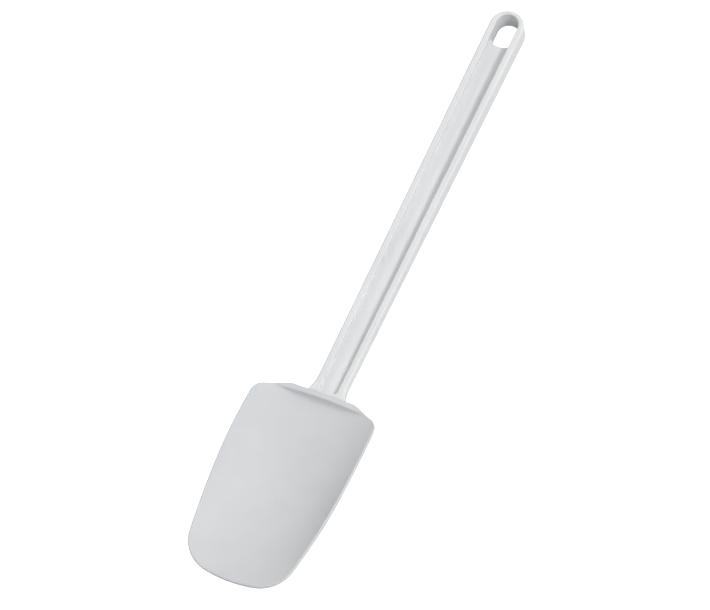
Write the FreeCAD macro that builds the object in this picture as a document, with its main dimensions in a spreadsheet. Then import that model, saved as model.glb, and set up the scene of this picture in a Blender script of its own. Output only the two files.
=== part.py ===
import FreeCAD, Part
import math
import os
import Sketcher

# Spoon-shaped rubber spatula, lying on its back with the bowl facing up.
# X runs across the blade, +Y runs along the handle away from the blade, +Z points out of the bowl.
# The origin is on the resting plane, midway between the blade's tip and the handle's end.
# A "station" is a distance from the blade's tip, measured along the handle.

SIZES = (
    ("overall_length", 356.0),
    # handle
    ("end_width", 18.4),
    ("neck_width", 16.5),
    ("flare_width", 21.0),
    ("end_depth", 12.0),
    ("neck_depth", 7.1),
    ("rail_width", 3.4),
    ("end_rim", 2.3),
    ("web_thickness", 2.2),
    ("slot_length", 17.4),
    ("slot_corner", 4.6),
    ("neck_station", 112.8),
    ("flare_start_station", 117.0),
    ("flare_stop_station", 126.5),
    ("channel_station", 119.2),
    ("channel_corner", 1.6),
    ("handle_edge_radius", 1.1),
    ("channel_edge_radius", 0.5),
    # tang inside the blade
    ("tenon_width", 13.0),
    ("tenon_bottom", 1.4),
    ("tenon_height", 4.4),
    ("tenon_station", 103.0),
    ("tang_width", 12.0),
    ("tang_bottom", 1.5),
    ("tang_thickness", 2.3),
    ("tang_station", 72.0),
    ("tang_hole_diameter", 5.0),
    ("tang_hole_station", 77.5),
    ("tang_hole_pitch", 9.0),
    # blade outline
    ("shoulder_station", 115.3),
    ("shoulder_flat", 35.0),
    ("corner_station", 109.4),
    ("corner_radius", 9.0),
    ("blade_width", 68.6),
    ("widest_station", 84.0),
    ("side_radius", 430.0),
    ("tip_corner_radius", 18.5),
    ("tip_crown_radius", 80.0),
    # blade surfaces: height of the lowest point, and radius across the blade, at each station
    ("heel_station", 119.0),
    ("crest_front_station", 112.9),
    ("wall_foot_station", 110.8),
    ("bend_station", 60.0),
    ("lip_station", 30.0),
    ("scoop_station", 12.0),
    ("beyond_tip_station", -6.0),
    ("floor_at_crest", 14.0),
    ("floor_at_wall", 7.33),
    ("floor_at_bend", 4.8),
    ("floor_at_lip", 7.4),
    ("floor_at_scoop", 11.4),
    ("floor_beyond_tip", 17.0),
    ("floor_radius_at_crest", 70.0),
    ("floor_radius_at_wall", 61.0),
    ("floor_radius_at_bend", 47.2),
    ("floor_radius_at_lip", 48.6),
    ("floor_radius_at_scoop", 60.0),
    ("floor_radius_beyond_tip", 200.0),
    ("belly_at_heel", 0.3),
    ("belly_at_bend", 0.0),
    ("belly_at_lip", 3.7),
    ("belly_at_scoop", 8.6),
    ("belly_beyond_tip", 14.6),
    ("belly_radius_at_heel", 46.6),
    ("belly_radius_at_bend", 43.8),
    ("belly_radius_at_lip", 45.4),
    ("belly_radius_at_scoop", 56.0),
    ("belly_radius_beyond_tip", 190.0),
    ("crest_height", 12.2),
    ("crest_flat", 32.0),
    ("crest_side_radius", 30.0),
    ("crest_stop_station", 101.0),
    ("wall_foot_radius", 4.0),
    ("crest_edge_radius", 1.0),
    ("rim_edge_radius", 0.6),
    ("underside_edge_radius", 0.8),
    # stock that the outline and the bowl are cut from
    ("stock_half_width", 38.0),
    ("stock_height", 28.0),
    ("cut_margin", 1.0),
    # flex line, where the blade bends
    ("flex_station", 57.0),
    ("flex_height", 9.4),
    ("flex_roll_radius", 10.4),
    ("flex_gap", 0.35),
    # size of the solids that only cut, which have to reach past the blade
    ("cutter_reach", 60.0),
)

XY, XZ, YZ = "XY_Plane", "XZ_Plane", "YZ_Plane"
ORIGIN_POINT = (-1, 1)
H_AXIS, V_AXIS = -1, -2
START, END, CENTRE = 1, 2, 3

document = FreeCAD.newDocument("spatula")
sheet = document.addObject("Spreadsheet::Sheet", "dims")
for row, (alias, number) in enumerate(SIZES, start=1):
    sheet.set("A%d" % row, alias)
    sheet.set("B%d" % row, str(number))
    sheet.setAlias("B%d" % row, alias)
document.recompute()


class Size:
    """A length that carries both its number and the sheet expression that drives it."""

    def __init__(self, value, text):
        self.value = value
        self.text = text

    @staticmethod
    def of(other):
        return other if isinstance(other, Size) else Size(float(other), repr(float(other)))

    def joined(self, sign, other, value):
        return Size(value, "(%s %s %s)" % (self.text, sign, other.text))

    def __add__(self, other):
        other = Size.of(other)
        return self.joined("+", other, self.value + other.value)

    def __sub__(self, other):
        other = Size.of(other)
        return self.joined("-", other, self.value - other.value)

    def __mul__(self, other):
        other = Size.of(other)
        return self.joined("*", other, self.value * other.value)

    def __truediv__(self, other):
        other = Size.of(other)
        return self.joined("/", other, self.value / other.value)

    def __neg__(self):
        return Size(-self.value, "(0 - %s)" % self.text)


def size(alias):
    return Size(float(sheet.get(alias)), "dims." + alias)


def along(station):
    """Y of a station, which the sheet measures from the blade's tip."""
    return size(station) - size("overall_length") / 2


def free(length):
    """A starting value for a coordinate that the sketch's other constraints settle."""
    return Size(length.value, None)


ZERO = Size(0.0, "0")
HALF_LENGTH = size("overall_length") / 2


def new_body(name):
    body = document.addObject("PartDesign::Body", name)
    body.Label = name
    return body


class Drawing:
    """A sketch on one of a body's origin planes, whose points are driven by the sheet."""

    def __init__(self, body, name, role, offset=None):
        self.sketch = body.newObject("Sketcher::SketchObject", name)
        plane = next(item for item in body.Origin.OriginFeatures if item.Role == role)
        self.sketch.AttachmentSupport = [(plane, "")]
        self.sketch.MapMode = "FlatFace"
        if offset is not None:
            raised = FreeCAD.Vector(0, 0, offset.value)
            self.sketch.AttachmentOffset = FreeCAD.Placement(raised, FreeCAD.Rotation())
            self.sketch.setExpression("AttachmentOffset.Base.z", offset.text)

    def constrain(self, kind, *numbers):
        return self.sketch.addConstraint(Sketcher.Constraint(kind, *numbers))

    def bind(self, index, length):
        self.sketch.setExpression("Constraints[%d]" % index, length.text)

    def place(self, item, position, x, y):
        """Fix a point of a piece of geometry at x, y. A free coordinate is left to the tangencies."""
        for kind, axis, length in (("DistanceX", V_AXIS, x), ("DistanceY", H_AXIS, y)):
            if length.text is None:
                continue
            if length is ZERO:
                self.constrain("PointOnObject", item, position, axis)
            else:
                index = self.constrain(kind, *ORIGIN_POINT, item, position, length.value)
                self.bind(index, length)

    def radius(self, item, length):
        self.bind(self.constrain("Radius", item, length.value), length)

    def circle(self, x, y, radius):
        middle = FreeCAD.Vector(x.value, y.value, 0)
        item = self.sketch.addGeometry(Part.Circle(middle, FreeCAD.Vector(0, 0, 1), radius.value))
        self.place(item, CENTRE, x, y)
        self.radius(item, radius)

    def loop(self, corners, arcs=None, smooth=(), centres=None):
        """Draw a closed counter-clockwise outline through the corners.

        arcs maps an edge's number to its radius, negative where the edge bends inwards.
        smooth lists the corners where two edges are tangent.
        centres maps an arc's number to its centre's x and y.
        """
        arcs = arcs or {}
        centres = centres or {}
        count = len(corners)
        points = [FreeCAD.Vector(x.value, y.value, 0) for x, y in corners]
        edges = []
        for number in range(count):
            start, end = points[number], points[(number + 1) % count]
            if number in arcs:
                edges.append(self.arc(start, end, arcs[number].value))
            else:
                item = self.sketch.addGeometry(Part.LineSegment(start, end))
                edges.append((item, START, END))
        for number in range(count):
            before, after = edges[number - 1], edges[number]
            kind = "Tangent" if number in smooth else "Coincident"
            self.constrain(kind, before[0], before[2], after[0], after[1])
            self.place(after[0], after[1], *corners[number])
        for number, radius in arcs.items():
            self.radius(edges[number][0], radius if radius.value > 0 else -radius)
        for number, (x, y) in centres.items():
            self.place(edges[number][0], CENTRE, x, y)

    def arc(self, start, end, radius):
        """Add the short arc from start to end, bulging to the right of that direction if radius > 0."""
        chord = end - start
        left = FreeCAD.Vector(-chord.y, chord.x, 0).normalize()
        reach = math.sqrt(max(radius * radius - chord.Length ** 2 / 4, 0))
        middle = (start + end) * 0.5 + left * math.copysign(reach, radius)
        first, last = (start, end) if radius > 0 else (end, start)
        angles = [math.atan2(p.y - middle.y, p.x - middle.x) for p in (first, last)]
        circle = Part.Circle(middle, FreeCAD.Vector(0, 0, 1), abs(radius))
        item = self.sketch.addGeometry(Part.ArcOfCircle(circle, *angles))
        return (item, START, END) if radius > 0 else (item, END, START)


def pad(body, name, drawing, length, midplane=False):
    feature = body.newObject("PartDesign::Pad", name)
    feature.Profile = drawing.sketch
    feature.setExpression("Length", length.text)
    feature.Midplane = midplane
    document.recompute()
    return feature


def pocket_through(body, name, drawing):
    """Cut all the way through, both ways from the sketch, and make sure that something was cut."""
    before = body.Shape.Volume
    feature = body.newObject("PartDesign::Pocket", name)
    feature.Profile = drawing.sketch
    feature.Type = "ThroughAll"
    feature.Midplane = True
    document.recompute()
    if feature.Shape.Volume >= before:
        raise ValueError("%s cut nothing" % name)
    return feature


def samples(edge):
    """Three points spread along an edge."""
    first, span = edge.FirstParameter, edge.LastParameter - edge.FirstParameter
    return [edge.valueAt(first + span * part) for part in (0.1, 0.5, 0.9)]


def edges_where(shape, test):
    """Names of the edges of a shape that pass a test."""
    return ["Edge%d" % number for number, edge in enumerate(shape.Edges, start=1) if test(edge)]


def fillet(body, name, radius, test):
    base = body.Tip
    names = edges_where(base.Shape, test)
    if not names:
        raise ValueError("%s found no edge" % name)
    feature = body.newObject("PartDesign::Fillet", name)
    feature.Base = (base, names)
    feature.setExpression("Radius", radius.text)
    document.recompute()
    return feature


def frame_loop(drawing, reach):
    """A rectangle well outside an outline, so that a pocket keeps only what the outline holds."""
    far = size("overall_length")
    drawing.loop([(-reach, -far), (reach, -far), (reach, far), (-reach, far)])


# ---------------------------------------------------------------- handle
def build_handle():
    body = new_body("handle")
    neck_y = along("neck_station")

    # side view: flat back on the resting plane, front face rising towards the end
    side = Drawing(body, "handle_side", YZ)
    side.loop([
        (neck_y, ZERO),
        (HALF_LENGTH, ZERO),
        (HALF_LENGTH, size("end_depth")),
        (neck_y, size("neck_depth")),
    ])
    pad(body, "handle_bar", side, size("end_width") * 2, midplane=True)

    # plan view: tapered bar with a round end and a flared neck
    flare, neck, end = (size(name) / 2 for name in ("flare_width", "neck_width", "end_width"))
    flare_start, flare_stop = along("flare_start_station"), along("flare_stop_station")
    flare_run, flare_rise = flare_stop - flare_start, flare - neck
    flare_arc = (flare_run * flare_run + flare_rise * flare_rise) / (flare_rise * 2)
    end_centre = HALF_LENGTH - end
    plan = Drawing(body, "handle_plan", XY)
    frame_loop(plan, size("end_width") * 2)
    plan.loop(
        [(flare, neck_y), (flare, flare_start), (neck, flare_stop), (free(end), free(end_centre)),
         (free(-end), free(end_centre)), (-neck, flare_stop), (-flare, flare_start), (-flare, neck_y)],
        arcs={1: -flare_arc, 3: end, 5: -flare_arc},
        smooth=(3, 4),
        centres={3: (ZERO, end_centre)},
    )
    pocket_through(body, "handle_plan_trim", plan)

    # the space between the rails, cut right through; the web closes most of it again
    slot, channel = end - size("rail_width"), neck - size("rail_width")
    slot_centre = HALF_LENGTH - size("end_rim") - slot
    corner = size("channel_corner")
    foot, corner_x, corner_y = along("channel_station"), channel - corner, along("channel_station") + corner
    gap = Drawing(body, "rail_gap", XY)
    gap.loop(
        [(free(corner_x), free(foot)), (free(channel), free(corner_y)), (free(slot), free(slot_centre)),
         (free(-slot), free(slot_centre)), (free(-channel), free(corner_y)), (free(-corner_x), free(foot))],
        arcs={0: corner, 2: slot, 4: corner},
        smooth=(0, 1, 2, 3, 4, 5),
        centres={0: (corner_x, corner_y), 2: (ZERO, slot_centre), 4: (-corner_x, corner_y)},
    )
    pocket_through(body, "rail_gap_cut", gap)

    # web at mid depth, from the neck to the bottom of the hanging slot
    web_stop = HALF_LENGTH - size("end_rim") - size("slot_length")
    rise = (size("end_depth") - size("neck_depth")) / (HALF_LENGTH - neck_y)
    half_web = size("web_thickness") / 2
    neck_middle = size("neck_depth") / 2
    stop_middle = neck_middle + (web_stop - neck_y) * rise / 2
    web = Drawing(body, "web_side", YZ)
    web.loop([
        (neck_y, neck_middle - half_web),
        (web_stop, stop_middle - half_web),
        (web_stop, stop_middle + half_web),
        (neck_y, neck_middle + half_web),
    ])
    pad(body, "web", web, neck * 2 - size("rail_width"), midplane=True)

    def at_slot_bottom(edge):
        box = edge.BoundBox
        on_web_end = abs(box.YMin - web_stop.value) < 1e-3 and abs(box.YMax - web_stop.value) < 1e-3
        return on_web_end and box.XLength < 1e-3
    fillet(body, "slot_bottom", size("slot_corner"), at_slot_bottom)

    # tenon and perforated tang, locked in the rubber
    tenon = Drawing(body, "tenon_plan", XY, size("tenon_bottom"))
    half_tenon = size("tenon_width") / 2
    tenon.loop([
        (-half_tenon, along("tenon_station")),
        (half_tenon, along("tenon_station")),
        (half_tenon, neck_y + 1),
        (-half_tenon, neck_y + 1),
    ])
    pad(body, "tenon", tenon, size("tenon_height"))
    tang = Drawing(body, "tang_plan", XY, size("tang_bottom"))
    half_tang = size("tang_width") / 2
    tang.loop([
        (-half_tang, along("tang_station")),
        (half_tang, along("tang_station")),
        (half_tang, along("tenon_station") + 1),
        (-half_tang, along("tenon_station") + 1),
    ])
    pad(body, "tang", tang, size("tang_thickness"))
    hole = Drawing(body, "tang_hole_plan", XY, size("tang_bottom"))
    hole.circle(ZERO, along("tang_hole_station"), size("tang_hole_diameter") / 2)
    first_hole = pocket_through(body, "tang_hole", hole)
    row = body.newObject("PartDesign::LinearPattern", "tang_holes")
    row.Originals = [first_hole]
    row.Direction = (hole.sketch, ["V_Axis"])
    row.Occurrences = 3
    row.setExpression("Length", "dims.tang_hole_pitch * 2")
    body.Tip = row
    document.recompute()

    # rounded edges: outside of the rails, their inner edges, and the web's corners
    def front(y):
        return size("neck_depth").value + rise.value * (y - neck_y.value)

    def on_faces(edge):
        points = samples(edge)
        on_front = all(abs(p.z - front(p.y)) < 1e-3 for p in points)
        on_back = all(abs(p.z) < 1e-3 for p in points)
        return (on_front or on_back) and max(p.y for p in points) > neck_y.value + 1e-3

    def from_middle(edge):
        """How far an edge lies from the handle's middle line, or from the centre of its round end."""
        middle = samples(edge)[1]
        return math.hypot(middle.x, max(middle.y - end_centre.value, 0))

    rail_middle = slot.value + size("rail_width").value / 2

    def outside(edge):
        return on_faces(edge) and from_middle(edge) > rail_middle

    def inside(edge):
        return on_faces(edge) and from_middle(edge) < rail_middle

    fillet(body, "outer_edges", size("handle_edge_radius"), outside)
    fillet(body, "inner_edges", size("channel_edge_radius"), inside)

    return body


# ---------------------------------------------------------------- blade
def trough(body, name, station, height, radius, margin=False):
    """The space above a round-bottomed trough at a station, as a closed section across the blade."""
    half, top = size("stock_half_width"), size("stock_height")
    if margin:
        half, top = half + size("cut_margin"), top + size("cut_margin")
    height, radius = size(height), size(radius)
    drop = math.sqrt(radius.value ** 2 - half.value ** 2)
    side = Size(height.value + radius.value - drop, None)
    drawing = Drawing(body, name, XZ, -along(station))
    drawing.loop(
        [(-half, side), (half, side), (half, top), (-half, top)],
        arcs={0: radius},
        centres={0: (ZERO, height + radius)},
    )
    return drawing.sketch


def loft(body, kind, name, sections):
    """An AdditiveLoft or a SubtractiveLoft through sections, with a check that it changed the volume."""
    before = body.Shape.Volume if body.Tip else 0.0
    feature = body.newObject("PartDesign::" + kind, name)
    feature.Profile = sections[0]
    feature.Sections = sections[1:]
    document.recompute()
    grew = feature.Shape.Volume - before
    if (grew > 0) != (kind == "AdditiveLoft"):
        raise ValueError("%s did not change the solid" % name)
    return feature


def build_blade():
    body = new_body("blade_moulding")

    # underside: straight from the heel to the bend, then curling up to the tip
    belly = {}
    for place, station in (
        ("at_heel", "heel_station"),
        ("at_bend", "bend_station"),
        ("at_lip", "lip_station"),
        ("at_scoop", "scoop_station"),
        ("beyond_tip", "beyond_tip_station"),
    ):
        belly[place] = trough(body, "belly_" + place, station, "belly_" + place, "belly_radius_" + place)
    loft(body, "AdditiveLoft", "heel_stock", [belly["at_heel"], belly["at_bend"]])
    loft(body, "AdditiveLoft", "lip_stock",
         [belly["at_bend"], belly["at_lip"], belly["at_scoop"], belly["beyond_tip"]])

    # bowl: a wall up to the crest, a floor that falls to the bend, and a scoop up to the tip
    floor = {}
    for place, station in (
        ("at_crest", "crest_front_station"),
        ("at_wall", "wall_foot_station"),
        ("at_bend", "bend_station"),
        ("at_lip", "lip_station"),
        ("at_scoop", "scoop_station"),
        ("beyond_tip", "beyond_tip_station"),
    ):
        radius = "floor_radius_" + place
        floor[place] = trough(body, "floor_" + place, station, "floor_" + place, radius, margin=True)
    loft(body, "SubtractiveLoft", "wall_cut", [floor["at_crest"], floor["at_wall"]])
    loft(body, "SubtractiveLoft", "floor_cut", [floor["at_wall"], floor["at_bend"]])
    loft(body, "SubtractiveLoft", "lip_cut",
         [floor["at_bend"], floor["at_lip"], floor["at_scoop"], floor["beyond_tip"]])

    # plan view: flat shoulder, bowed sides and a broad, slightly crowned tip
    flat, half = size("shoulder_flat") / 2, size("blade_width") / 2
    shoulder, corner = along("shoulder_station"), along("corner_station")
    side, widest = size("side_radius"), along("widest_station")
    crown = size("tip_crown_radius")
    # where the tip's corner arcs begin and end; tangency settles them from these first guesses
    tip_y, tip_x = -HALF_LENGTH, half - size("tip_corner_radius") * 1.2
    low_x, low_y = half - size("tip_corner_radius") / 4, tip_y + size("tip_corner_radius")
    high_x, high_y = half, corner - size("corner_radius")
    turn_x = half - size("corner_radius") / 2
    plan = Drawing(body, "blade_plan", XY)
    frame_loop(plan, size("stock_half_width") * 2)
    plan.loop(
        [(free(-tip_x), free(tip_y)), (free(tip_x), free(tip_y)), (free(low_x), free(low_y)),
         (free(high_x), free(high_y)), (free(turn_x), corner), (flat, shoulder),
         (-flat, shoulder), (free(-turn_x), corner), (free(-high_x), free(high_y)),
         (free(-low_x), free(low_y))],
        arcs={0: crown, 1: size("tip_corner_radius"), 2: side, 3: size("corner_radius"),
              7: size("corner_radius"), 8: side, 9: size("tip_corner_radius")},
        smooth=(0, 1, 2, 3, 4, 7, 8, 9),
        centres={0: (ZERO, tip_y + crown), 2: (half - side, widest), 8: (side - half, widest)},
    )
    pocket_through(body, "blade_plan_trim", plan)

    # crest of the shoulder: flat in the middle, sweeping up to the rims
    wide = size("stock_half_width") + size("cut_margin")
    top = size("stock_height") + size("cut_margin")
    level, crest_flat, sweep = size("crest_height"), size("crest_flat") / 2, size("crest_side_radius")
    side = free(level + sweep / 2)
    crest = Drawing(body, "crest_section", XZ, -along("crest_stop_station"))
    crest.loop(
        [(-wide, side), (-crest_flat, free(level)), (crest_flat, free(level)),
         (wide, side), (wide, top), (-wide, top)],
        arcs={0: sweep, 2: sweep},
        centres={0: (-crest_flat, level + sweep), 2: (crest_flat, level + sweep)},
    )
    before = body.Shape.Volume
    crest_cut = body.newObject("PartDesign::Pocket", "crest_cut")
    crest_cut.Profile = crest.sketch
    crest_cut.Type = "ThroughAll"
    document.recompute()
    if crest_cut.Shape.Volume >= before:
        raise ValueError("crest_cut cut nothing")

    # rounded edges: foot of the bowl's wall, rim, crest and underside
    def wall_beside(edge):
        """The upright face that an edge bounds, if there is one."""
        for face in body.Tip.Shape.Faces:
            if is_upright(face) and any(edge.isSame(other) for other in face.Edges):
                return face
        return None

    def runs_round(edge, above):
        """The edge runs round the blade along the top, or else the bottom, of its side wall."""
        face, middle = wall_beside(edge), samples(edge)[1]
        if face is None or edge.BoundBox.ZLength > max(edge.BoundBox.XLength, edge.BoundBox.YLength):
            return False
        return (middle.z > (face.BoundBox.ZMin + face.BoundBox.ZMax) / 2) == above

    def across_middle(edge, height, station):
        """The edge crosses the blade's middle at this height and station."""
        middle = samples(edge)[1]
        near = size("cut_margin").value
        level = abs(middle.z - size(height).value) < near and abs(middle.y - along(station).value) < near
        return level and abs(middle.x) < near

    def wall_foot(edge):
        return across_middle(edge, "floor_at_wall", "wall_foot_station")

    def rim(edge):
        return runs_round(edge, above=True) and samples(edge)[1].y < high_y.value

    def crest_back(edge):
        return across_middle(edge, "crest_height", "shoulder_station")

    def underside(edge):
        return runs_round(edge, above=False)

    fillet(body, "wall_foot", size("wall_foot_radius"), wall_foot)
    fillet(body, "rim_edges", size("rim_edge_radius"), rim)
    fillet(body, "crest_edge", size("crest_edge_radius"), crest_back)
    fillet(body, "underside_edges", size("underside_edge_radius"), underside)
    return body


def is_upright(face):
    """A face that stands straight up, such as the blade's outer edge."""
    first_u, last_u, first_v, last_v = face.ParameterRange
    normal = face.normalAt((first_u + last_u) / 2, (first_v + last_v) / 2)
    return abs(normal.z) < 1e-6


# ---------------------------------------------------------------- flex line
def build_halves(handle, blade):
    """Cut the blade along a roll about the flex axis, so that the lip can bend on the sleeve."""
    reach = size("cutter_reach")
    flex_y, flex_z = along("flex_station"), size("flex_height")

    def roll(name, radius):
        cylinder = document.addObject("Part::Cylinder", name)
        cylinder.setExpression("Radius", radius.text)
        cylinder.setExpression("Height", (reach * 2).text)
        across = FreeCAD.Rotation(FreeCAD.Vector(0, 1, 0), 90)
        start = FreeCAD.Vector(-reach.value, flex_y.value, flex_z.value)
        cylinder.Placement = FreeCAD.Placement(start, across)
        cylinder.setExpression("Placement.Base.x", (-reach).text)
        cylinder.setExpression("Placement.Base.y", flex_y.text)
        cylinder.setExpression("Placement.Base.z", flex_z.text)
        return cylinder

    tip_side = document.addObject("Part::Box", "tip_side")
    tip_side.setExpression("Length", (reach * 2).text)
    tip_side.setExpression("Width", (reach * 2).text)
    tip_side.setExpression("Height", (reach * 2).text)
    tip_side.setExpression("Placement.Base.x", (-reach).text)
    tip_side.setExpression("Placement.Base.y", (flex_y - reach * 2).text)
    tip_side.setExpression("Placement.Base.z", (-reach).text)

    def joined(name, *tools):
        fuse = document.addObject("Part::MultiFuse", name)
        fuse.Shapes = list(tools)
        return fuse

    lip_roll = roll("lip_roll", size("flex_roll_radius"))
    sleeve_hollow = roll("sleeve_hollow", size("flex_roll_radius") + size("flex_gap"))
    lip_zone = joined("lip_zone", tip_side, lip_roll)
    open_zone = joined("open_zone", tip_side, sleeve_hollow)

    lip = document.addObject("Part::Common", "blade_lip")
    lip.Base, lip.Tool = blade, lip_zone
    heel = document.addObject("Part::Cut", "heel_half")
    heel.Base, heel.Tool = blade, open_zone
    sleeve = document.addObject("Part::Cut", "blade_sleeve")
    sleeve.Base, sleeve.Tool = heel, handle
    for node in (lip, sleeve):
        node.Label = node.Name
    document.recompute()
    return sleeve, lip


def export(nodes):
    for item in document.Objects:
        if "Invalid" in item.State or "Error" in item.State:
            raise ValueError("%s failed: %s" % (item.Label, item.State))
    for node in nodes:
        shape = node.Shape
        if shape.isNull() or not shape.isValid() or len(shape.Solids) != 1:
            raise ValueError("%s is not one valid solid" % node.Label)
    os.makedirs("parts", exist_ok=True)
    for node in nodes:
        node.Shape.exportStep(os.path.join("parts", node.Label + ".step"))


handle = build_handle()
blade = build_blade()
sleeve, lip = build_halves(handle, blade)
export([handle, sleeve, lip])
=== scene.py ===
import math

import bmesh
import bpy
import numpy as np
from mathutils import Matrix, Vector


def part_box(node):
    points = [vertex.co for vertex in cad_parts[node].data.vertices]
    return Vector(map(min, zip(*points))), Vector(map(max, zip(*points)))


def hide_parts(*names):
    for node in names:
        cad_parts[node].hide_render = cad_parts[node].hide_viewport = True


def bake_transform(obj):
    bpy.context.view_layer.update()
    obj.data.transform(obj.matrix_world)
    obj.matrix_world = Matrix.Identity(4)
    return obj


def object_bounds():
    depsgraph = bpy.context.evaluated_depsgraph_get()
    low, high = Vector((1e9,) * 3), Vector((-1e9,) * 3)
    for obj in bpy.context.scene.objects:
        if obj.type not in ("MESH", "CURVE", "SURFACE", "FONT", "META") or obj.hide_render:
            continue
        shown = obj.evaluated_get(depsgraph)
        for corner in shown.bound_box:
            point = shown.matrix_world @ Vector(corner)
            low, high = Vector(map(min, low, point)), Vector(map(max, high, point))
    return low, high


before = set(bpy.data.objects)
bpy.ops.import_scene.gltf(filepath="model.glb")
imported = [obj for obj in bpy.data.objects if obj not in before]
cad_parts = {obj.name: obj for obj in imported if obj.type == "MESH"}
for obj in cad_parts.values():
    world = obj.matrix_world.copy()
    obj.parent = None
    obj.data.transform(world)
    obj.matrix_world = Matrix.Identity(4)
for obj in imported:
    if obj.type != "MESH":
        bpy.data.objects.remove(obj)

# Spoon-shaped rubber spatula lying on its back, bowl up: +Y runs along the handle, +X across the blade.
# The handle is the CAD node with a moulded plastic finish. The blade is one continuous rubber moulding,
# built here, that stands for the CAD's two halves.
# A "station" is a distance from the blade's tip, along the handle. Sizes are in millimetres until a mesh
# is made, and MM turns them into metres.

MM = 0.001
CAD_LOW, CAD_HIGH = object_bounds()
SLEEVE_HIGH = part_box("blade_sleeve")[1]
LIP_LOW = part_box("blade_lip")[0]
TIP_Y = LIP_LOW.y / MM
HALF_WIDTH = SLEEVE_HIGH.x / MM
SHOULDER = SLEEVE_HIGH.y / MM - TIP_Y


# ---------------------------------------------------------------- blade outline
WIDEST = 84.0
SIDE_RADIUS = 430.0
CROWN_RADIUS = 80.0
TIP_CORNER_RADIUS = 18.5
HEEL_CORNER_RADIUS = 9.0
HEEL_CORNER = 109.4
SHOULDER_FLAT = 17.5
SHOULDER_CORNER_RADIUS = 7.0
OUTLINE_COLUMNS = 300
OUTLINE_STEP = 0.1
SAME_POINT = 1e-6
# the slanted shoulder's lean is found by halving this range, in degrees
LEAN_RANGE = 20, 85
HALVINGS = 60


def meet(centre_a, reach_a, centre_b, reach_b, side):
    """Where two circles cross, on the left (+1) or right (-1) of the line from a to b."""
    a, b = Vector(centre_a), Vector(centre_b)
    gap = b - a
    along = (reach_a ** 2 - reach_b ** 2 + gap.length ** 2) / (2 * gap.length)
    off = math.sqrt(max(reach_a ** 2 - along ** 2, 0))
    unit = gap.normalized()
    return a + unit * along + Vector((-unit.y, unit.x)) * off * side


def heel_corner(side_centre):
    """Centre of the heel's corner arc, and the angle of the slanted shoulder's outward normal."""
    low, high = (math.radians(limit) for limit in LEAN_RANGE)
    for _ in range(HALVINGS):
        lean = (low + high) / 2
        normal = Vector((math.cos(lean), math.sin(lean)))
        touch = Vector((SHOULDER_FLAT + (SHOULDER - HEEL_CORNER) * math.tan(lean), HEEL_CORNER))
        centre = touch - normal * HEEL_CORNER_RADIUS
        if (centre - side_centre).length > SIDE_RADIUS - HEEL_CORNER_RADIUS:
            high = lean
        else:
            low = lean
    return centre, lean


def arc_points(centre, radius, first, last):
    """Points and outward normals of an arc from one angle to another."""
    count = max(2, int(abs(last - first) * radius / OUTLINE_STEP))
    angles = np.linspace(first, last, count)
    normals = np.stack([np.cos(angles), np.sin(angles)], axis=1)
    return np.array(centre) + normals * radius, normals


def line_points(start, end, normal):
    """Points of a straight line, each with the same outward normal."""
    start, end = np.array(start), np.array(end)
    count = max(2, int(np.linalg.norm(end - start) / OUTLINE_STEP))
    points = start + (end - start) * np.linspace(0, 1, count)[:, None]
    return points, np.tile(np.array(normal), (count, 1))


def half_outline():
    """The right half of the blade's plan, from the tip's middle to the heel's middle.

    Returns evenly spaced points (x, station) and their outward normals.
    """
    crown = Vector((0, CROWN_RADIUS))
    side = Vector((HALF_WIDTH - SIDE_RADIUS, WIDEST))
    tip = meet(crown, CROWN_RADIUS - TIP_CORNER_RADIUS, side, SIDE_RADIUS - TIP_CORNER_RADIUS, 1)
    if tip.x < 0 or tip.y > CROWN_RADIUS:
        tip = meet(crown, CROWN_RADIUS - TIP_CORNER_RADIUS, side, SIDE_RADIUS - TIP_CORNER_RADIUS, -1)
    heel, lean = heel_corner(side)

    def angle(centre, point):
        return math.atan2(point.y - centre.y, point.x - centre.x)

    crown_to_tip, side_to_tip, side_to_heel = angle(crown, tip), angle(side, tip), angle(side, heel)
    # the shoulder's corner is eased with an arc that touches the flat and the slant
    turn = math.radians(90) - lean
    cut = SHOULDER_CORNER_RADIUS * math.tan(turn / 2)
    shoulder = Vector((SHOULDER_FLAT - cut, SHOULDER - SHOULDER_CORNER_RADIUS))
    slant = Vector((math.cos(lean), math.sin(lean)))
    slant_low = heel + slant * HEEL_CORNER_RADIUS
    slant_high = shoulder + slant * SHOULDER_CORNER_RADIUS
    runs = [
        arc_points(crown, CROWN_RADIUS, math.radians(-90), crown_to_tip),
        arc_points(tip, TIP_CORNER_RADIUS, crown_to_tip, side_to_tip),
        arc_points(side, SIDE_RADIUS, side_to_tip, side_to_heel),
        arc_points(heel, HEEL_CORNER_RADIUS, side_to_heel, lean),
        line_points(slant_low, slant_high, slant),
        arc_points(shoulder, SHOULDER_CORNER_RADIUS, lean, math.radians(90)),
        line_points((shoulder.x, SHOULDER), (0, SHOULDER), (0, 1)),
    ]
    points = np.concatenate([run[0] for run in runs])
    normals = np.concatenate([run[1] for run in runs])
    walk = np.concatenate([[0], np.cumsum(np.linalg.norm(np.diff(points, axis=0), axis=1))])
    keep = np.concatenate([[True], np.diff(walk) > SAME_POINT])
    walk, points, normals = walk[keep], points[keep], normals[keep]
    even = np.linspace(0, walk[-1], OUTLINE_COLUMNS + 1)
    xy = np.stack([np.interp(even, walk, points[:, i]) for i in (0, 1)], axis=1)
    out = np.stack([np.interp(even, walk, normals[:, i]) for i in (0, 1)], axis=1)
    out /= np.linalg.norm(out, axis=1)[:, None]
    xy[0, 0] = xy[-1, 0] = 0.0
    out[0], out[-1] = (0, -1), (0, 1)
    return xy, out


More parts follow.
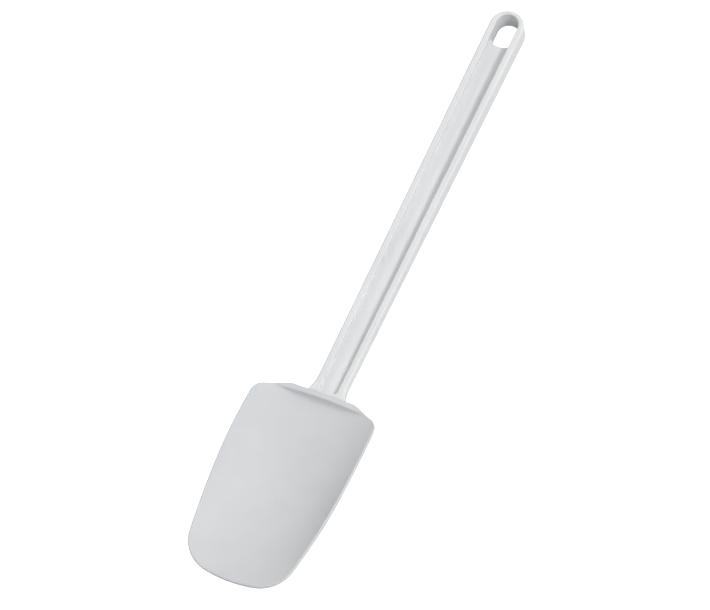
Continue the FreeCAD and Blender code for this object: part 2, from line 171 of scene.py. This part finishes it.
# ---------------------------------------------------------------- blade surfaces
# lowest point of the bowl's floor and of the underside: station, height
FLOOR_LOW = ((-6, 17.0), (2, 14.32), (12, 11.4), (20, 9.41), (30, 7.4), (40, 5.93), (50, 5.05), (60, 4.82),
             (75, 5.55), (90, 6.29), (110.2, 7.3), (119, 7.74))
BELLY_LOW = ((-6, 14.6), (2, 11.85), (12, 8.6), (20, 6.24), (30, 3.7), (40, 1.73), (50, 0.45), (58, 0.03),
             (66, 0.03), (80, 0.1), (100, 0.2), (119, 0.3))
# radius across the blade: station, radius
FLOOR_RADIUS = ((-6, 200), (12, 60), (30, 48.6), (60, 47.2), (85, 53.2), (110.2, 61.0), (119, 64.0))
BELLY_RADIUS = ((-6, 190), (12, 56), (30, 45.4), (60, 43.8), (90, 45.2), (119, 46.6))
WALL_FOOT = 110.8
WALL_FOOT_HEIGHT, WALL_FOOT_RADIUS = 7.33, 61.0
WALL_TOP = 112.9
WALL_TOP_HEIGHT, WALL_TOP_RADIUS = 14.0, 70.0
WALL_FOOT_ROUNDING = 1.4
WALL_HOLLOW = 0.9
CREST_HEIGHT = 12.2
CREST_FLAT = 16.0
CREST_SIDE_RADIUS = 30.0
CREST_ROUNDING = 0.5
CREST_STOP = 103.0
FLATTEST_CURVATURE = 1e-4


def natural_spline(table, at):
    """A natural cubic spline through the table's values, read at each station."""
    knots, values = (np.array(column, float) for column in zip(*table))
    count, gap = len(knots), np.diff(knots)
    system, right = np.eye(count), np.zeros(count)
    for i in range(1, count - 1):
        system[i, i - 1], system[i, i], system[i, i + 1] = gap[i - 1], 2 * (gap[i - 1] + gap[i]), gap[i]
        right[i] = 6 * ((values[i + 1] - values[i]) / gap[i] - (values[i] - values[i - 1]) / gap[i - 1])
    bend = np.linalg.solve(system, right)
    which = np.clip(np.searchsorted(knots, at) - 1, 0, count - 2)
    h, left, after = gap[which], at - knots[which], knots[which + 1] - at
    return (
        bend[which] * after ** 3 / (6 * h) + bend[which + 1] * left ** 3 / (6 * h)
        + (values[which] / h - bend[which] * h / 6) * after
        + (values[which + 1] / h - bend[which + 1] * h / 6) * left
    )


def arc_rise(x, radius):
    """Rise of a circular arc above its lowest point."""
    return radius - np.sqrt(np.maximum(radius ** 2 - x ** 2, 1.0))


def trough(low, radius, x, station):
    """Height of a round-bottomed trough whose depth and curvature change along the blade."""
    curvature = natural_spline([(place, 1 / size) for place, size in radius], station)
    return natural_spline(low, station) + arc_rise(x, 1 / np.maximum(curvature, FLATTEST_CURVATURE))


def soft_min(a, b, width):
    """The lower of two heights, rounded over where they cross."""
    return (a + b - np.sqrt((a - b) ** 2 + width ** 2)) / 2


def top_height(x, station):
    """Height of the upper surface: the bowl, the wall behind it and the crest."""
    floor = trough(FLOOR_LOW, FLOOR_RADIUS, x, station)
    foot = WALL_FOOT_HEIGHT + arc_rise(x, WALL_FOOT_RADIUS)
    head = WALL_TOP_HEIGHT + arc_rise(x, WALL_TOP_RADIUS)
    past_flat = np.maximum(np.abs(x) - CREST_FLAT, 0)
    before_crest = np.maximum(CREST_STOP - station, 0)
    crest = CREST_HEIGHT + arc_rise(past_flat, CREST_SIDE_RADIUS) + before_crest
    # the wall is hollowed a little between its foot and the crest, so it is steepest at the crest
    climb = (station - WALL_FOOT) / (WALL_TOP - WALL_FOOT)
    climb_at_crest = (crest - foot) / (head - foot)
    climb = climb + WALL_HOLLOW * np.maximum(climb, 0) * (climb - climb_at_crest)
    bowl = -soft_min(-floor, -(foot + (head - foot) * climb), WALL_FOOT_ROUNDING)
    return soft_min(bowl, crest, CREST_ROUNDING)


def belly_height(x, station):
    """Height of the underside."""
    return trough(BELLY_LOW, BELLY_RADIUS, x, station)


# ---------------------------------------------------------------- blade mesh
EDGE_INSET = 0.08
RIM_RADIUS = 0.6
HEEL_RIM_RADIUS = 1.0
UNDERSIDE_RADIUS = 0.8
RIM_STEPS = 9
UNDERSIDE_STEPS = 5
# the moulding's parting line: how far it stands out, then heights above the underside's rounding, each
# with its share of that reach
SEAM_REACH = 0.05
SEAM_PROFILE = ((0.55, 0.0), (0.42, 0.6), (0.3, 1.0), (0.18, 0.6), (0.05, 0.0))
PATH_REACH, PATH_PULL, PATH_SAMPLES = 7.0, 0.4, 241
FINE_RINGS, FINE_REACH, FINE_PROBES = 36, 9.2, 184
WIDE_RINGS, WIDE_GROWTH = 16, 1.35
BELLY_RINGS, BELLY_GROWTH = 28, 1.2
SPINE_START, SPINE_STOP = 34.0, 82.0
SLOPE_PROBE = 0.15
ROUNDING_PASSES = 12
HEEL_RIM_START, HEEL_RIM_BLEND = 4.0, 3.5


def inward_paths(edge, inward):
    """Curves in plan that leave the outline squarely and end on the blade's middle line."""
    spine = np.stack([np.zeros(len(edge)), np.linspace(SPINE_START, SPINE_STOP, len(edge))], axis=1)
    length = np.linalg.norm(spine - edge, axis=1)
    control = edge + inward * np.minimum(length * PATH_PULL, PATH_REACH)[:, None]
    t = np.linspace(0, 1, PATH_SAMPLES)[None, :, None]
    path = (1 - t) ** 2 * edge[:, None] + 2 * t * (1 - t) * control[:, None] + t ** 2 * spine[:, None]
    walk = np.zeros(path.shape[:2])
    walk[:, 1:] = np.cumsum(np.linalg.norm(np.diff(path, axis=1), axis=2), axis=1)

    def at(distance):
        """Points of every path at its own distance from the outline."""
        return np.array([
            [np.interp(d, w, p[:, 0]), np.interp(d, w, p[:, 1])]
            for d, w, p in zip(distance, walk, path)
        ])

    return at, walk[:, -1]


def rounding(edge, inward, height, radius, side):
    """Where a rounded edge between the upright wall and a surface starts, and the arc's centre height.

    side is +1 for the surface above and -1 for the one below.
    """
    def level(distance):
        place = edge + inward * distance[:, None]
        return height(place[:, 0], place[:, 1])

    touch = radius.copy()
    for _ in range(ROUNDING_PASSES):
        slope = (level(touch + SLOPE_PROBE) - level(touch - SLOPE_PROBE)) / (2 * SLOPE_PROBE)
        lean = -side * slope / np.sqrt(1 + slope ** 2)
        touch = radius * (1 + lean)
    middle = level(touch) - side * radius / np.sqrt(1 + slope ** 2)
    return touch, middle, lean


def blade_rows():
    """Rows of points from the bowl's middle line over the rim and under to the belly's middle line."""
    edge, out = half_outline()
    edge, inward = edge - out * EDGE_INSET, -out
    at, length = inward_paths(edge, inward)
    near_heel = np.clip((edge[:, 1] - (SHOULDER - HEEL_RIM_START)) / HEEL_RIM_BLEND, 0, 1)
    rim_radius = RIM_RADIUS + (HEEL_RIM_RADIUS - RIM_RADIUS) * near_heel
    under_radius = np.full(len(edge), UNDERSIDE_RADIUS)
    rim_start, rim_middle, rim_lean = rounding(edge, inward, top_height, rim_radius, 1)
    under_start, under_middle, under_lean = rounding(edge, inward, belly_height, under_radius, -1)

    def surface_rows(height, start, distances):
        rows = []
        for distance in distances:
            place = at(start + distance)
            rows.append(np.column_stack([place, height(place[:, 0], place[:, 1])]))
        return rows

    left = length - rim_start
    # near the rim the rings are evenly spaced over the surface itself, so the steep wall gets its share
    probes = np.linspace(0, FINE_REACH, FINE_PROBES)
    heights = np.array([row[:, 2] for row in surface_rows(top_height, rim_start, probes)])
    climbed = np.hypot(np.diff(heights, axis=0), probes[1])
    walk = np.concatenate([np.zeros((1, len(edge))), np.cumsum(climbed, axis=0)])
    fine = []
    for k in range(1, FINE_RINGS + 1):
        share = k / FINE_RINGS
        fine.append(np.array([np.interp(way[-1] * share, way, probes) for way in walk.T]))
    rest = [
        fine[-1] + (left - fine[-1]) * (k / WIDE_RINGS) ** WIDE_GROWTH
        for k in range(1, WIDE_RINGS + 1)
    ]
    rows = surface_rows(top_height, rim_start, (fine + rest)[::-1])

    def arc_row(radius, middle, angle):
        shift = radius * (1 + np.cos(angle))
        return np.column_stack([edge + inward * shift[:, None], middle + radius * np.sin(angle)])

    last = np.arctan2(np.sqrt(1 - rim_lean ** 2), rim_lean)
    for k in range(RIM_STEPS + 1):
        rows.append(arc_row(rim_radius, rim_middle, last + (math.pi - last) * k / RIM_STEPS))
    wall = rim_middle - under_middle
    for share, swell in SEAM_PROFILE:
        level = under_middle + np.minimum(wall * share, share)
        rows.append(np.column_stack([edge - inward * SEAM_REACH * swell, level]))
    last = math.pi + np.arctan2(np.sqrt(1 - under_lean ** 2), -under_lean)
    for k in range(UNDERSIDE_STEPS + 1):
        angle = math.pi + (last - math.pi) * k / UNDERSIDE_STEPS
        rows.append(arc_row(under_radius, under_middle, angle))
    left = length - under_start
    belly = [left * (k / BELLY_RINGS) ** BELLY_GROWTH for k in range(1, BELLY_RINGS + 1)]
    rows += surface_rows(belly_height, under_start, belly)
    return np.array(rows)


def blade_mesh(name):
    """The whole blade as one closed mesh: the rows of the right half, and their mirror image."""
    rows = blade_rows()
    rows[..., 1] += TIP_Y
    count, columns = rows.shape[:2]
    rows[0, :, 0] = rows[-1, :, 0] = rows[:, 0, 0] = rows[:, -1, 0] = 0.0
    right = np.arange(count * columns).reshape(count, columns)
    on_middle = np.zeros((count, columns), bool)
    on_middle[0] = on_middle[-1] = on_middle[:, 0] = on_middle[:, -1] = True
    left = right.copy()
    left[~on_middle] = count * columns + np.arange((~on_middle).sum())
    mirrored = rows[~on_middle] * (-1, 1, 1)
    points = np.concatenate([rows.reshape(-1, 3), mirrored]) * MM
    faces = []
    for grid, flip in ((right, False), (left, True)):
        corners = np.stack([grid[:-1, :-1], grid[:-1, 1:], grid[1:, 1:], grid[1:, :-1]], axis=-1)
        corners = corners.reshape(-1, 4)
        faces += (corners[:, ::-1] if flip else corners).tolist()
    mesh = bpy.data.meshes.new(name)
    mesh.from_pydata(points.tolist(), [], faces)
    shape = bmesh.new()
    shape.from_mesh(mesh)
    bmesh.ops.recalc_face_normals(shape, faces=shape.faces)
    shape.to_mesh(mesh)
    shape.free()
    mesh.polygons.foreach_set("use_smooth", [True] * len(mesh.polygons))
    rest = mesh.attributes.new("rest", "FLOAT_VECTOR", "POINT")
    rest.data.foreach_set("vector", points.astype(np.float32).ravel())
    mesh.update()
    return mesh


# ---------------------------------------------------------------- materials
class Finish:
    """A node material around one Principled shader."""

    def __init__(self, name, place):
        self.material = bpy.data.materials.new(name)
        self.material.use_nodes = True
        self.tree = self.material.node_tree
        self.tree.nodes.clear()
        self.shader = self.node("ShaderNodeBsdfPrincipled")
        output = self.node("ShaderNodeOutputMaterial")
        self.link(self.shader.outputs["BSDF"], output.inputs["Surface"])
        if place == "Object":
            self.place = self.node("ShaderNodeTexCoord").outputs["Object"]
        else:
            attribute = self.node("ShaderNodeAttribute")
            attribute.attribute_name = place
            self.place = attribute.outputs["Vector"]

    def node(self, kind, **settings):
        item = self.tree.nodes.new(kind)
        for key, value in settings.items():
            setattr(item, key, value)
        return item

    def link(self, source, target):
        self.tree.links.new(source, target)

    def stretched(self, scale, turn=0.0):
        mapping = self.node("ShaderNodeMapping")
        mapping.inputs["Scale"].default_value = scale
        mapping.inputs["Rotation"].default_value = (0, 0, turn)
        self.link(self.place, mapping.inputs["Vector"])
        return mapping.outputs["Vector"]

    def noise(self, scale, detail=3.0, rough=0.5, place=None):
        item = self.node("ShaderNodeTexNoise")
        item.inputs["Scale"].default_value = scale
        item.inputs["Detail"].default_value = detail
        item.inputs["Roughness"].default_value = rough
        self.link(place or self.place, item.inputs["Vector"])
        return item.outputs["Fac"]

    def ramp(self, source, low, high, to_low=0.0, to_high=1.0):
        item = self.node("ShaderNodeMapRange", interpolation_type="SMOOTHSTEP")
        limits = {"From Min": low, "From Max": high, "To Min": to_low, "To Max": to_high}
        for socket, value in limits.items():
            item.inputs[socket].default_value = value
        self.link(source, item.inputs["Value"])
        return item.outputs["Result"]

    def math(self, operation, a, b):
        item = self.node("ShaderNodeMath", operation=operation)
        for socket, value in zip(item.inputs, (a, b)):
            if isinstance(value, (int, float)):
                socket.default_value = value
            else:
                self.link(value, socket)
        return item.outputs["Value"]

    def mix(self, share, a, b):
        """A colour between a and b; either may be a colour or a socket."""
        item = self.node("ShaderNodeMix", data_type="RGBA")
        self.link(share, item.inputs["Factor"])
        for socket, value in zip((item.inputs[6], item.inputs[7]), (a, b)):
            if isinstance(value, tuple):
                socket.default_value = (*value, 1)
            else:
                self.link(value, socket)
        return item.outputs[2]

    def specks(self, scale, size, share):
        """Small round marks in some of the cells of a random grid, seen from above."""
        cells = self.node("ShaderNodeTexVoronoi", voronoi_dimensions="2D")
        cells.inputs["Scale"].default_value = scale
        self.link(self.place, cells.inputs["Vector"])
        dot = self.ramp(cells.outputs["Distance"], size * 0.6, size, 1.0, 0.0)
        split = self.node("ShaderNodeSeparateColor")
        self.link(cells.outputs["Color"], split.inputs["Color"])
        chosen = self.math("LESS_THAN", split.outputs["Red"], share)
        return self.math("MULTIPLY", dot, chosen)

    def bump(self, height, distance, strength=1.0, below=None):
        item = self.node("ShaderNodeBump")
        item.inputs["Strength"].default_value = strength
        item.inputs["Distance"].default_value = distance
        self.link(height, item.inputs["Height"])
        if below is not None:
            self.link(below, item.inputs["Normal"])
        return item.outputs["Normal"]

    def set(self, **values):
        """Give inputs of the shader a number, a colour or a socket; underscores stand for spaces."""
        for key, value in values.items():
            socket = self.shader.inputs[key.replace("_", " ")]
            if isinstance(value, bpy.types.NodeSocket):
                self.link(value, socket)
            elif isinstance(value, tuple):
                socket.default_value = (*value, 1)
            else:
                socket.default_value = value


def rubber():
    """Matte off-white rubber: faint mottling, a fine grain, hairline rub marks and a few specks."""
    finish = Finish("white_rubber", "rest")
    cloud = finish.ramp(finish.noise(scale=28, detail=2), 0.35, 0.65)
    tone = finish.mix(cloud, (0.588, 0.603, 0.618), (0.616, 0.624, 0.638))
    blotch = finish.ramp(finish.noise(scale=120, detail=4), 0.45, 0.75, 0.0, 0.35)
    tone = finish.mix(blotch, tone, (0.572, 0.59, 0.597))
    specks = finish.specks(scale=95, size=0.03, share=0.07)
    tone = finish.mix(finish.math("MULTIPLY", specks, 0.5), tone, (0.30, 0.30, 0.30))
    grain = finish.noise(scale=1900, detail=3)
    rubs = finish.noise(scale=1.0, detail=4, rough=0.6, place=finish.stretched((900, 60, 900), turn=0.5))
    matte = finish.ramp(finish.noise(scale=260, detail=3), 0.3, 0.7, 0.50, 0.60)
    rough = finish.math("ADD", matte, finish.ramp(rubs, 0.55, 0.75, 0.0, -0.08))
    normal = finish.bump(grain, distance=0.00004, strength=0.5)
    normal = finish.bump(finish.noise(scale=42, detail=2), distance=0.0007, strength=0.25, below=normal)
    finish.set(Base_Color=tone, Roughness=rough, Normal=normal, IOR=1.5, Specular_IOR_Level=0.4)
    return finish.material


def plastic():
    """Semi-gloss white plastic: slight flow streaks, lengthwise hairlines and a few specks."""
    finish = Finish("white_plastic", "Object")
    streaks = finish.noise(scale=1.0, detail=3, place=finish.stretched((160, 22, 160)))
    cloud = finish.ramp(streaks, 0.35, 0.65)
    tone = finish.mix(cloud, (0.715, 0.73, 0.74), (0.755, 0.76, 0.765))
    specks = finish.specks(scale=110, size=0.025, share=0.08)
    tone = finish.mix(finish.math("MULTIPLY", specks, 0.4), tone, (0.35, 0.35, 0.36))
    lengthwise = finish.stretched((2400, 40, 2400), turn=0.06)
    scratch = finish.noise(scale=1.0, detail=5, rough=0.7, place=lengthwise)
    sheen = finish.ramp(finish.noise(scale=300, detail=3), 0.3, 0.7, 0.30, 0.40)
    rough = finish.math("ADD", sheen, finish.ramp(scratch, 0.6, 0.75, 0.0, 0.12))
    normal = finish.bump(scratch, distance=0.00002, strength=0.35)
    normal = finish.bump(finish.noise(scale=60, detail=2), distance=0.0002, strength=0.12, below=normal)
    finish.set(Base_Color=tone, Roughness=rough, Normal=normal, IOR=1.5)
    return finish.material


# ---------------------------------------------------------------- the object
blade = bpy.data.objects.new("blade", blade_mesh("blade"))
bpy.context.scene.collection.objects.link(blade)
blade.data.materials.append(rubber())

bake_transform(blade)
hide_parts("blade_sleeve", "blade_lip")

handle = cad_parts["handle"]
handle.data.materials.clear()
handle.data.materials.append(plastic())
handle.data.polygons.foreach_set("use_smooth", [True] * len(handle.data.polygons))


# ---------------------------------------------------------------- floor, light and camera
STAGE_SIDES = 64
FLOOR_RADIUS_M = 12.0
WALL_SINK_M = 1.0
FLOOR_DROP = 0.00002
BOUNCE_DROP = FLOOR_DROP * 3
PAPER_ALBEDO, FLOOR_GLOW = 0.94, 0.85
BOUNCE_ALBEDO = 0.65
ALBEDO_FLECK = 0.01
WORLD_STRENGTH = 0.565


def paper(name, albedo, glow):
    """Matte paper with a faint fleck, which may glow."""
    finish = Finish(name, "Object")
    fleck = finish.ramp(finish.noise(scale=3, detail=2), 0.3, 0.7)
    tone = finish.mix(fleck, (albedo - ALBEDO_FLECK,) * 3, (albedo + ALBEDO_FLECK,) * 3)
    finish.set(Base_Color=tone, Roughness=0.9, Specular_IOR_Level=0.0)
    finish.set(Emission_Color=(1, 1, 1), Emission_Strength=glow)
    return finish.material


def stage_item(name, shape, height, finish):
    """A stage object made from a bmesh, set at a height."""
    mesh = bpy.data.meshes.new(name)
    shape.to_mesh(mesh)
    shape.free()
    item = bpy.data.objects.new(name, mesh)
    item.location.z = height
    bpy.context.scene.collection.objects.link(item)
    mesh.materials.append(finish)
    return item


def round_floor(name, drop, finish):
    """A large round floor just under the object."""
    shape = bmesh.new()
    bmesh.ops.create_circle(shape, cap_ends=True, segments=STAGE_SIDES, radius=FLOOR_RADIUS_M)
    return stage_item(name, shape, CAD_LOW.z - drop, finish)


def backdrop(name, finish):
    """A round wall at the floor's edge, which is only there to be seen behind the object."""
    shape = bmesh.new()
    bmesh.ops.create_cone(shape, segments=STAGE_SIDES, radius1=FLOOR_RADIUS_M, radius2=FLOOR_RADIUS_M,
                          depth=2 * FLOOR_RADIUS_M)
    return stage_item(name, shape, FLOOR_RADIUS_M - WALL_SINK_M, finish)


# the floor and wall that are seen are white paper, and touch neither the light nor the shadows;
# a greyer floor that isn't seen throws light back on the object
floor = round_floor("floor", FLOOR_DROP, paper("white_paper", PAPER_ALBEDO, FLOOR_GLOW))
wall = backdrop("backdrop", floor.data.materials[0])
for item in (floor, wall):
    item.visible_diffuse = item.visible_glossy = item.visible_shadow = False
bounce = round_floor("floor_bounce", BOUNCE_DROP, paper("grey_paper", BOUNCE_ALBEDO, 0.0))
bounce.visible_camera = False

world = bpy.data.worlds.new("studio")
bpy.context.scene.world = world
world.use_nodes = True
world.node_tree.nodes["Background"].inputs["Color"].default_value = (1, 1, 1, 1)
world.node_tree.nodes["Background"].inputs["Strength"].default_value = WORLD_STRENGTH

MIDDLE = (CAD_LOW + CAD_HIGH) / 2
LAMP_DISTANCE = 2.5
LAMP_SIZE = 0.55
# where each lamp stands, as degrees round from +X and degrees up, and its light on a surface that faces it
SOFTBOXES = {
    "right_key": (0, 46, 0.39),
    "right_rear": (45, 34, 0.095),
    "right_front": (-40, 46, 0.095),
    "left_fill": (180, 38, 0.15),
}


def softbox(name, direction, watts):
    """A large square lamp that faces the object and isn't seen itself."""
    lamp = bpy.data.lights.new(name, "AREA")
    lamp.shape, lamp.size, lamp.energy = "SQUARE", LAMP_SIZE, watts
    item = bpy.data.objects.new(name, lamp)
    away = Vector(direction).normalized()
    item.location = MIDDLE + away * LAMP_DISTANCE
    item.rotation_euler = away.to_track_quat("Z", "Y").to_euler()
    item.visible_camera = False
    bpy.context.scene.collection.objects.link(item)


for name, (turn, lift, share) in SOFTBOXES.items():
    turn, lift = math.radians(turn), math.radians(lift)
    aside = (math.cos(lift) * math.cos(turn), math.cos(lift) * math.sin(turn), math.sin(lift))
    softbox(name, aside, share * (math.pi * LAMP_DISTANCE) ** 2)

# the camera looks from the blade's end, from the right and well above, rolled so that the handle leans
AZIMUTH, ELEVATION, ROLL = math.radians(32.7), math.radians(61.2), math.radians(26.15)
HANDLE_RISE = math.radians(1.04)
DISTANCE = 4.0
LENS, SENSOR_WIDTH = 401.3, 36.0
CLIP_START, CLIP_END = 0.1, 200.0
AIM = MIDDLE + Vector((-7.05, -8.6, -1.24)) * MM

tilt = Matrix.Rotation(HANDLE_RISE, 3, "X")
back = tilt @ Vector((
    math.sin(AZIMUTH) * math.cos(ELEVATION), -math.cos(AZIMUTH) * math.cos(ELEVATION), math.sin(ELEVATION)
))
along_handle = tilt @ Vector((0, 1, 0))
up = (along_handle - back * along_handle.dot(back)).normalized()
right = up.cross(back)
camera_right = right * math.cos(ROLL) + up * math.sin(ROLL)
camera_up = up * math.cos(ROLL) - right * math.sin(ROLL)

lens = bpy.data.cameras.new("camera")
lens.lens, lens.sensor_width = LENS, SENSOR_WIDTH
lens.clip_start, lens.clip_end = CLIP_START, CLIP_END
camera = bpy.data.objects.new("camera", lens)
camera.matrix_world = Matrix.Translation(AIM + back * DISTANCE) @ Matrix(
    (camera_right, camera_up, back)).transposed().to_4x4()
bpy.context.scene.collection.objects.link(camera)
bpy.context.scene.camera = camera
bpy.context.scene.view_settings.view_transform = "Standard"
